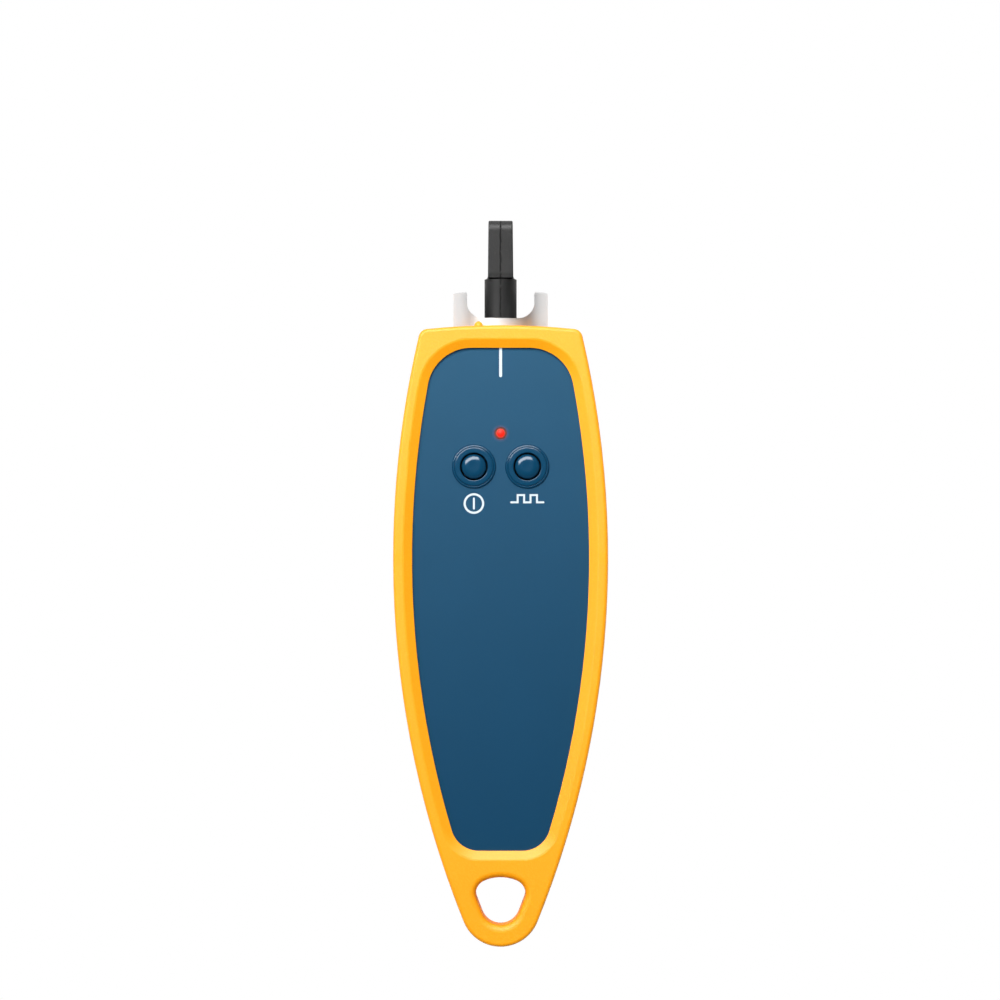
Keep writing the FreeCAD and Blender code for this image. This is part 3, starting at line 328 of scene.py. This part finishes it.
def capRubber(centre, sleeveTop):
    # dusty pull tab, the sleeve below it darkened as painted shade, a wavering and broken mould line down the
    # middle
    look = capLook
    made = Finish("capRubber", {"IOR": 1.39})
    x, y = made.axes()[:2]
    waver = sway(made.noise(look["waverGrain"], 3.0, (0, 1, 1)), look["waver"])
    off = made.node("ShaderNodeMath", {"operation": "ABSOLUTE"}, {0: x - centre.x + waver})
    seam = 1 - made.mask(off, look["seamHalf"] * look["seamCore"], look["seamHalf"])
    seam = seam * made.mask(made.noise(look["gapGrain"], 3.0), look["gapFrom"], look["gapTo"])
    dust = made.mask(made.noise(look["dustGrain"], 4.0), look["dustFrom"], look["dustTo"])
    cloud = made.noise(look["cloud"], 3.0)
    sleeve = 1 - made.mask(y, sleeveTop - look["shoulderSoft"], sleeveTop)
    # painted shade: the sleeve's colour is darkened towards near black
    sleeveShaded = made.blend(sleeve * look["sleeveShadeShare"], made.mottled(cloud, look), look["sleeveShadeColour"])
    dusty = made.blend(dust * look["dustShare"], sleeveShaded, look["dustColour"])
    lined = made.blend(seam, dusty, look["seamColour"])
    made.feed({"Base Color": made.worn(made.edges(look["edge"]), lined, look),
               "Roughness": look["roughness"] + sway(cloud, look["roughnessSway"]) + dust * look["dustMatte"]
               + seam * look["seamMatte"] + sleeve * look["sleeveMatte"]})
    made.relief(made.noise(look["grain"], 3.0) * look["grainShare"] - seam, look["relief"])
    return made.material


ceramicLook = {"dark": (0.86, 0.84, 0.78, 1), "pale": (0.93, 0.92, 0.88, 1), "cloud": 1.2 * mm}


def sleeveCeramic():
    look = ceramicLook
    made = Finish("sleeveCeramic", {"Roughness": 0.22, "IOR": 1.9})
    made.feed({"Base Color": made.blend(made.noise(look["cloud"]), look["dark"], look["pale"])})
    return made.material


boardLook = {"mask": (0.02, 0.17, 0.06, 1), "track": (0.035, 0.25, 0.09, 1), "trackCell": 2.4 * mm,
             "trackFrom": 0.38, "trackTo": 0.42, "relief": 0.02 * mm, "roughness": 0.3,
             "chip": (0.02, 0.02, 0.022, 1), "chipFrom": 0.02 * mm, "chipTo": 0.06 * mm, "chipMatte": 0.25}


def boardMask(topZ):
    # green solder mask with fine tracks, and dark parts above its surface
    look = boardLook
    made = Finish("boardMask", {"IOR": 1.5})
    cells = made.node("ShaderNodeTexVoronoi", {"distance": "CHEBYCHEV", "feature": "F1"},
                      {"Vector": made.spot, "Scale": 1 / look["trackCell"]})
    tracks = made.mask(cells, look["trackFrom"], look["trackTo"])
    green = made.blend(tracks, look["mask"], look["track"])
    chip = made.mask(made.axes()[2], topZ + look["chipFrom"], topZ + look["chipTo"])
    made.feed({"Base Color": made.blend(chip, green, look["chip"]),
               "Roughness": look["roughness"] + chip * look["chipMatte"]})
    made.relief(tracks, look["relief"])
    return made.material


mouldedLook = {"dark": (0.022, 0.022, 0.024, 1), "pale": (0.038, 0.038, 0.040, 1), "grain": 0.25 * mm,
               "roughness": 0.42, "roughnessSway": 0.2, "relief": 0.01 * mm}


def mouldedBlack():
    look = mouldedLook
    made = Finish("mouldedBlack", {"IOR": 1.5})
    grain = made.noise(look["grain"], 3.0)
    made.feed({"Base Color": made.blend(grain, look["dark"], look["pale"]),
               "Roughness": look["roughness"] + sway(grain, look["roughnessSway"])})
    made.relief(grain, look["relief"])
    return made.material


cellLook = {"dark": (0.09, 0.09, 0.10, 1), "pale": (0.13, 0.13, 0.14, 1), "cloud": 6 * mm,
            "steel": (0.70, 0.69, 0.66, 1), "roughness": 0.28, "roughnessSway": 0.1,
            "upperFrom": 2.2 * mm, "upperTo": 2.0 * mm, "lowerFrom": 0.6 * mm, "lowerTo": 0.8 * mm}


def cellSleeve(low, high):
    # plain dark sleeve between bare steel ends
    look = cellLook
    made = Finish("cellSleeve", {"IOR": 1.5})
    y = made.axes()[1]
    cloud = made.noise(look["cloud"])
    upper = made.mask(y, high - look["upperFrom"], high - look["upperTo"])
    lower = 1 - made.mask(y, low + look["lowerFrom"], low + look["lowerTo"])
    ends = upper + lower
    sleeve = made.blend(cloud, look["dark"], look["pale"])
    made.feed({"Base Color": made.blend(ends, sleeve, look["steel"]), "Metallic": ends,
               "Roughness": look["roughness"] + sway(cloud, look["roughnessSway"])})
    return made.material


nickelLook = {"dark": (0.66, 0.64, 0.58, 1), "pale": (0.76, 0.74, 0.68, 1), "grain": 0.4 * mm,
              "stretch": (1, 1, 0.12), "roughness": 0.22, "roughnessSway": 0.14}


def sheetNickel():
    look = nickelLook
    made = Finish("sheetNickel", {"Metallic": 1.0})
    rolled = made.noise(look["grain"], 3.0, look["stretch"])
    made.feed({"Base Color": made.blend(rolled, look["dark"], look["pale"]),
               "Roughness": look["roughness"] + sway(rolled, look["roughnessSway"])})
    return made.material


def middle(node):
    low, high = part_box(node)
    return (low + high) / 2


def keypadTree():
    shell = nodes["front_shell"]
    return BVHTree.FromPolygons([point.co for point in shell.data.vertices],
                                [face.vertices for face in shell.data.polygons])


faceTree = keypadTree()
castRoom = 10 * mm


def onFace(x, y):
    # height of the keypad face, straight down from above the part
    return faceTree.ray_cast(Vector((x, y, cadBox[1][2] + castRoom)), Vector((0, 0, -1)))[0].z


lampTop = Vector((0.0, middle("status_lamp").y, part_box("status_lamp")[1].z))
portAxis = middle("nose_guard")
keyLeft, keyRight = middle("power_button"), middle("flash_button")
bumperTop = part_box("bumper")[1].y
faceTop = onFace(0, keyLeft.y)                                # the keypad face between the two keys
cellLow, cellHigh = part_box("cell_left")
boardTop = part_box("power_switch")[0].z
finishes = {
    "bumper_yellow": bumperElastomer(),
    "shell_blue": shellPlastic(lampTop, lampLook["radius"], (keyLeft, keyRight), faceTop),
    "button_blue": keyGloss(faceTop),
    "lamp_red": lampResin(lampTop),
    "guard_aluminium": turnedMetal("turnedAluminium", portAxis),
    "port_steel": turnedMetal("turnedSteel", portAxis),
    "sleeve_ceramic": sleeveCeramic(),
    "laser_brass": turnedMetal("turnedBrass", portAxis),
    "cap_rubber": capRubber(middle("dust_cap"), bumperTop + capLook["shoulder"]),
    "board_green": boardMask(boardTop),
    "switch_black": mouldedBlack(),
    "cell_sleeve": cellSleeve(cellLow.y, cellHigh.y),
    "contact_nickel": sheetNickel(),
    "screw_steel": turnedMetal("platedSteel", portAxis),
}
for part in frame["record"]["subparts"]:
    for slot in nodes[part["node"]].material_slots:
        slot.material = finishes[part["material_slot"]]
print("finishes made:", len(finishes))


def meshObject(name, mesh, material):
    data = bpy.data.meshes.new(name)
    mesh.to_mesh(data)
    mesh.free()
    data.materials.append(material)
    made = bpy.data.objects.new(name, data)
    bpy.context.scene.collection.objects.link(made)
    return made


# print on the keypad face

printLook = {"colour": (0.60, 0.68, 0.73, 1), "mottle": (0.93, 1.0), "grain": 0.3 * mm, "relief": 0.006 * mm,
             "roughness": 0.45, "roughnessSway": 0.15, "thinColour": (0.25, 0.38, 0.48, 1),
             "thinGrain": 0.12 * mm, "thinFrom": 0.62, "thinTo": 0.85, "thinShare": 0.25}
printPlan = {"film": 0.03 * mm, "skirt": 1.5, "step": 0.5 * mm, "mitre": 0.5, "endSteps": 8,
             "lineWidth": 0.72 * mm, "lineFrom": 6.0 * mm, "lineTo": 13.6 * mm, "symbolDrop": 9.2 * mm,
             "ringRadius": 2.3 * mm, "ringStroke": 0.52 * mm, "ringSteps": 48,
             "barHalf": 1.25 * mm, "barStroke": 0.48 * mm,
             "pulseDrop": 8.0 * mm, "pulseHalf": 0.9 * mm, "pulseStep": 1.6 * mm, "pulseStroke": 0.48 * mm}
pulseShape = ((-2.5, -1), (-1.5, -1), (-1.5, 1), (-0.5, 1), (-0.5, -1),
              (0.5, -1), (0.5, 1), (1.5, 1), (1.5, -1), (2.5, -1))          # steps across, halves up


def whiteInk():
    look = printLook
    made = Finish("whiteInk", {"IOR": 1.45})
    grain = made.noise(look["grain"], 3.0)
    thin = made.mask(made.noise(look["thinGrain"], 2.0), look["thinFrom"], look["thinTo"])
    body = made.mottled(grain, look)
    made.feed({"Base Color": made.blend(thin * look["thinShare"], body, look["thinColour"]),
               "Roughness": look["roughness"] + sway(grain, look["roughnessSway"])})
    made.relief(grain, look["relief"])
    return made.material


def densified(points, closed):
    # the same line with a point at least every step
    line = []
    pairs = list(zip(points, points[1:] + points[:1])) if closed else list(zip(points, points[1:]))
    for start, end in pairs:
        count = max(1, math.ceil((end - start).length / printPlan["step"]))
        line += [start.lerp(end, index / count) for index in range(count)]
    return line if closed else line + [points[-1]]


def lift(mesh, spot):
    return mesh.verts.new((spot.x, spot.y, onFace(spot.x, spot.y) + printPlan["film"]))


def roundedEnd(mesh, line, pairs, top, width, end, inner):
    steps = printPlan["endSteps"]
    outward = (line[end] - line[inner]).normalized()
    across = pairs[end][0] - line[end]
    fan = [top[end][0]]
    for step in range(1, steps):
        angle = math.pi * step / steps
        fan.append(lift(mesh, line[end] + across * math.cos(angle) + outward * (width / 2 * math.sin(angle))))
    fan.append(top[end][1])
    mesh.faces.new(fan)


def strokeMesh(mesh, points, width, closed=False):
    # a printed stroke of even width along points, with mitred corners and rounded ends
    line = densified([Vector((x, y, 0)) for x, y in points], closed)
    count = len(line)
    pairs = []
    for index, point in enumerate(line):
        before = line[index - 1] if index or closed else point * 2 - line[1]
        after = line[(index + 1) % count] if index < count - 1 or closed else point * 2 - line[-2]
        first, second = (point - before).normalized(), (after - point).normalized()
        along = (first + second).normalized()
        side = Vector((-along.y, along.x, 0)) * (width / 2 / max(along.dot(second), printPlan["mitre"]))
        pairs.append((point + side, point - side))
    top = [[lift(mesh, spot) for spot in pair] for pair in pairs]
    for index in range(count if closed else count - 1):
        (a, b), (c, d) = top[index], top[(index + 1) % count]
        mesh.faces.new((a, b, d, c))
    if not closed:
        roundedEnd(mesh, line, pairs, top, width, 0, 1)
        roundedEnd(mesh, line, pairs, top, width, -1, -2)


inkFinish = whiteInk()


def inkPiece(name, draw):
    mesh = bmesh.new()
    draw(mesh)
    bmesh.ops.recalc_face_normals(mesh, faces=mesh.faces)
    if sum(face.normal.z for face in mesh.faces) < 0:
        bmesh.ops.reverse_faces(mesh, faces=mesh.faces)
    rim = [edge for edge in mesh.edges if edge.is_boundary]
    skirt = bmesh.ops.extrude_edge_only(mesh, edges=rim)["geom"]
    bmesh.ops.translate(mesh, vec=(0, 0, -printPlan["film"] * printPlan["skirt"]),
                        verts=[item for item in skirt if isinstance(item, bmesh.types.BMVert)])
    piece = meshObject(name, mesh, inkFinish)
    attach(piece, "main_body")


def drawIndexLine(mesh):
    strokeMesh(mesh, [(0, bumperTop - printPlan["lineFrom"]), (0, bumperTop - printPlan["lineTo"])],
               printPlan["lineWidth"])


def drawPowerSymbol(mesh):
    x, y = keyLeft.x, keyLeft.y - printPlan["symbolDrop"]
    radius, steps, bar = printPlan["ringRadius"], printPlan["ringSteps"], printPlan["barHalf"]
    turns = [2 * math.pi * step / steps for step in range(steps)]
    strokeMesh(mesh, [(x + radius * math.cos(turn), y + radius * math.sin(turn)) for turn in turns],
               printPlan["ringStroke"], closed=True)
    strokeMesh(mesh, [(x, y + bar), (x, y - bar)], printPlan["barStroke"])


def drawPulseSymbol(mesh):
    # square wave for the flashing output
    x, y = keyRight.x, keyRight.y - printPlan["pulseDrop"]
    step, half = printPlan["pulseStep"], printPlan["pulseHalf"]
    strokeMesh(mesh, [(x + across * step, y + level * half) for across, level in pulseShape],
               printPlan["pulseStroke"])


inkPiece("indexLine", drawIndexLine)
inkPiece("powerSymbol", drawPowerSymbol)
inkPiece("pulseSymbol", drawPulseSymbol)
print("print laid on the keypad face")


# turned pieces on the keypad: a stepped collar over each bezel, a dome over each key

lathePlan = {"around": 96, "sunk": 0.3 * mm, "arcSteps": 6, "sharp": 40, "probe": 0.5 * mm}
collarPlan = {"inner": 3.47 * mm, "outer": 5.4 * mm, "rim": 0.64 * mm, "rimRound": 0.36 * mm,
              "groove": 4.98 * mm, "grooveFloor": 0.57 * mm, "step": 0.86 * mm, "stepRound": 0.40 * mm,
              "stepOuter": 4.9 * mm, "stepTurn": 84, "lip": 0.16 * mm, "lipTop": 0.90 * mm}
domePlan = {"wall": 3.07 * mm, "wallTop": 0.15 * mm, "top": 1.2 * mm, "flat": 1.2 * mm, "bend": 2.45 * mm,
            "edge": 2.97 * mm, "dish": 0.05 * mm, "dishSteps": 4, "shoulderSteps": 14}


def arcPoints(out, rise, radius, start, end):
    # points on an arc of the section, angles in degrees from straight out, turning up
    steps = lathePlan["arcSteps"]
    turns = [math.radians(start + (end - start) * step / steps) for step in range(steps + 1)]
    return [(out + radius * math.cos(turn), rise + radius * math.sin(turn)) for turn in turns]


def collarProfile():
    # radius and height of the section, from the outside in: rim, groove, step, lip
    plan = collarPlan
    rim, step, lip = plan["rimRound"], plan["stepRound"], plan["lip"]
    return ([(plan["outer"], -lathePlan["sunk"])]
            + arcPoints(plan["outer"] - rim, plan["rim"] - rim, rim, 0, 90)
            + arcPoints(plan["groove"], plan["rim"], plan["rim"] - plan["grooveFloor"], 0, -180)[1:-1]
            + arcPoints(plan["stepOuter"] - step, plan["step"] - step, step, 0, plan["stepTurn"])
            + arcPoints(plan["inner"] + lip, plan["lipTop"] - lip, lip, 90, 180)
            + [(plan["inner"], -lathePlan["sunk"])])


def domeProfile():
    # dished top, shoulder that steepens outwards, straight wall
    plan = domePlan
    flat, bend, steps = plan["flat"], plan["bend"], plan["shoulderSteps"]
    shares = [step / plan["dishSteps"] for step in range(plan["dishSteps"])]
    dish = [(flat * share, plan["top"] - plan["dish"] * (1 - share ** 2)) for share in shares]
    reach = [flat + (plan["edge"] - flat) * step / steps for step in range(steps + 1)]
    shoulder = [(out, plan["top"] - bend + (bend ** 2 - (out - flat) ** 2) ** 0.5) for out in reach]
    return dish + shoulder + [(plan["wall"], plan["wallTop"]), (plan["wall"], -lathePlan["sunk"]),
                              (0, -lathePlan["sunk"])]


def turnedPiece(name, centre, base, section, body):
    mesh = bmesh.new()
    count = lathePlan["around"]
    rings = []
    for out, rise in section:
        turns = [2 * math.pi * step / count for step in range(count if out > 0 else 1)]
        spots = [(centre.x + out * math.cos(turn), centre.y + out * math.sin(turn)) for turn in turns]
        rings.append([mesh.verts.new((x, y, base + rise)) for x, y in spots])
    if section[0][0] > 0:
        rings.append(rings[0])
    for here, there in zip(rings, rings[1:]):
        for step in range(count):
            corners = [here[step % len(here)], here[(step + 1) % len(here)],
                       there[(step + 1) % len(there)], there[step % len(there)]]
            mesh.faces.new(list(dict.fromkeys(corners)))
    bmesh.ops.recalc_face_normals(mesh, faces=mesh.faces)
    for face in mesh.faces:
        face.smooth = True
    for edge in mesh.edges:
        edge.smooth = edge.calc_face_angle(0) < math.radians(lathePlan["sharp"])
    piece = meshObject(name, mesh, finishes["button_blue"])
    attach(piece, body)


for key, body, centre in (("power", "power_button", keyLeft), ("flash", "flash_button", keyRight)):
    base = onFace(centre.x + collarPlan["inner"] + lathePlan["probe"], centre.y)
    turnedPiece(key + "Collar", centre, base, collarProfile(), "main_body")
    turnedPiece(key + "Dome", centre, base, domeProfile(), body)
print("collars and domes set on the keypad")


# floor, light and camera

stageLook = {"floorSize": 3.0, "floorCells": 8, "floorDrop": 0.15 * mm, "floor": (0.86, 0.86, 0.86, 1),
             "floorRoughness": 0.8, "mirrored": 0.68}
roomLook = {"From Min": 0.1, "From Max": 0.6, "To Min": 0.22, "To Max": 0.03}      # the fill fades upwards


def paleFloor():
    # plain white to the camera, and white mixed with the lamps' light in reflections
    made = Finish("paleFloor", {"Base Color": stageLook["floor"], "Roughness": stageLook["floorRoughness"]})
    seen, mirrored, through = [made.node("ShaderNodeLightPath", output=ray)
                               for ray in ("Is Camera Ray", "Is Glossy Ray", "Is Transmission Ray")]
    shown = made.smaller(seen + mirrored * stageLook["mirrored"] + through, 1.0)
    white = made.node("ShaderNodeEmission", values={"Color": (1, 1, 1, 1), "Strength": 1.0})
    lit = Wire(made, made.shader.outputs[0])
    mixed = made.node("ShaderNodeMixShader", values={0: shown, 1: lit, 2: white})
    made.join(made.tree.nodes["Material Output"].inputs["Surface"], mixed)
    sheet = bmesh.new()
    bmesh.ops.create_grid(sheet, x_segments=stageLook["floorCells"], y_segments=stageLook["floorCells"],
                          size=stageLook["floorSize"] / 2)
    bmesh.ops.translate(sheet, vec=(0, 0, -stageLook["floorDrop"]), verts=sheet.verts)
    floor = meshObject("floorSheet", sheet, made.material)


def studioWorld():
    # white behind the object, and a dim room above it for fill
    world = bpy.data.worlds.new("studioWorld")
    bpy.context.scene.world = world
    room = Graph(world)
    seen = room.node("ShaderNodeLightPath", output="Is Camera Ray")
    through = room.node("ShaderNodeLightPath", output="Is Transmission Ray")
    up = room.node("ShaderNodeTexCoord", output="Generated")
    height = room.node("ShaderNodeSeparateXYZ", values={0: up}, output=2)
    level = room.node("ShaderNodeMapRange", values={"Value": height, **roomLook})
    shown = room.smaller(seen + through, 1.0)
    backdrop = room.tree.nodes["Background"].inputs
    room.join(backdrop["Color"], (1, 1, 1, 1))
    room.join(backdrop["Strength"], level + (1 - level) * shown)


lampAim = Vector((0, 0, 20 * mm))
lampPlan = (
    # name, place, width, length, watts, and whether it lights reflections and nothing else
    ("overheadSoft", (-0.14, 0.28, 0.82), 0.8, 0.8, 10.6, False),
    ("strobeSpill", (-0.15, 0.52, 0.56), 0.35, 0.25, 2.4, False),
    ("strobeBox", (-0.17, 0.52, 0.56), 1.15, 0.46, 18.0, True),
)


def softLight(name, place, width, length, watts, mirrored):
    lamp = bpy.data.lights.new(name, "AREA")
    lamp.shape, lamp.size, lamp.size_y, lamp.energy = "RECTANGLE", width, length, watts
    holder = bpy.data.objects.new(name, lamp)
    holder.location = place
    holder.rotation_euler = (lampAim - Vector(place)).to_track_quat("-Z", "Y").to_euler()
    holder.visible_glossy, holder.visible_diffuse = mirrored, not mirrored
    bpy.context.scene.collection.objects.link(holder)


cameraPlan = {"above": 1.20, "span": 0.25, "aside": -0.15 * mm, "ahead": 20.6 * mm}


def overheadCamera():
    lens = bpy.data.cameras.new("overheadCamera")
    lens.lens = lens.sensor_width * cameraPlan["above"] / cameraPlan["span"]
    holder = bpy.data.objects.new("overheadCamera", lens)
    height = middle("status_lamp").z + cameraPlan["above"]
    holder.location = (cameraPlan["aside"], cameraPlan["ahead"], height)
    bpy.context.scene.collection.objects.link(holder)
    bpy.context.scene.camera = holder


paleFloor()
studioWorld()
for lampSizes in lampPlan:
    softLight(*lampSizes)
overheadCamera()
bpy.context.scene.view_settings.view_transform = "Standard"
print("floor, lights and camera set")
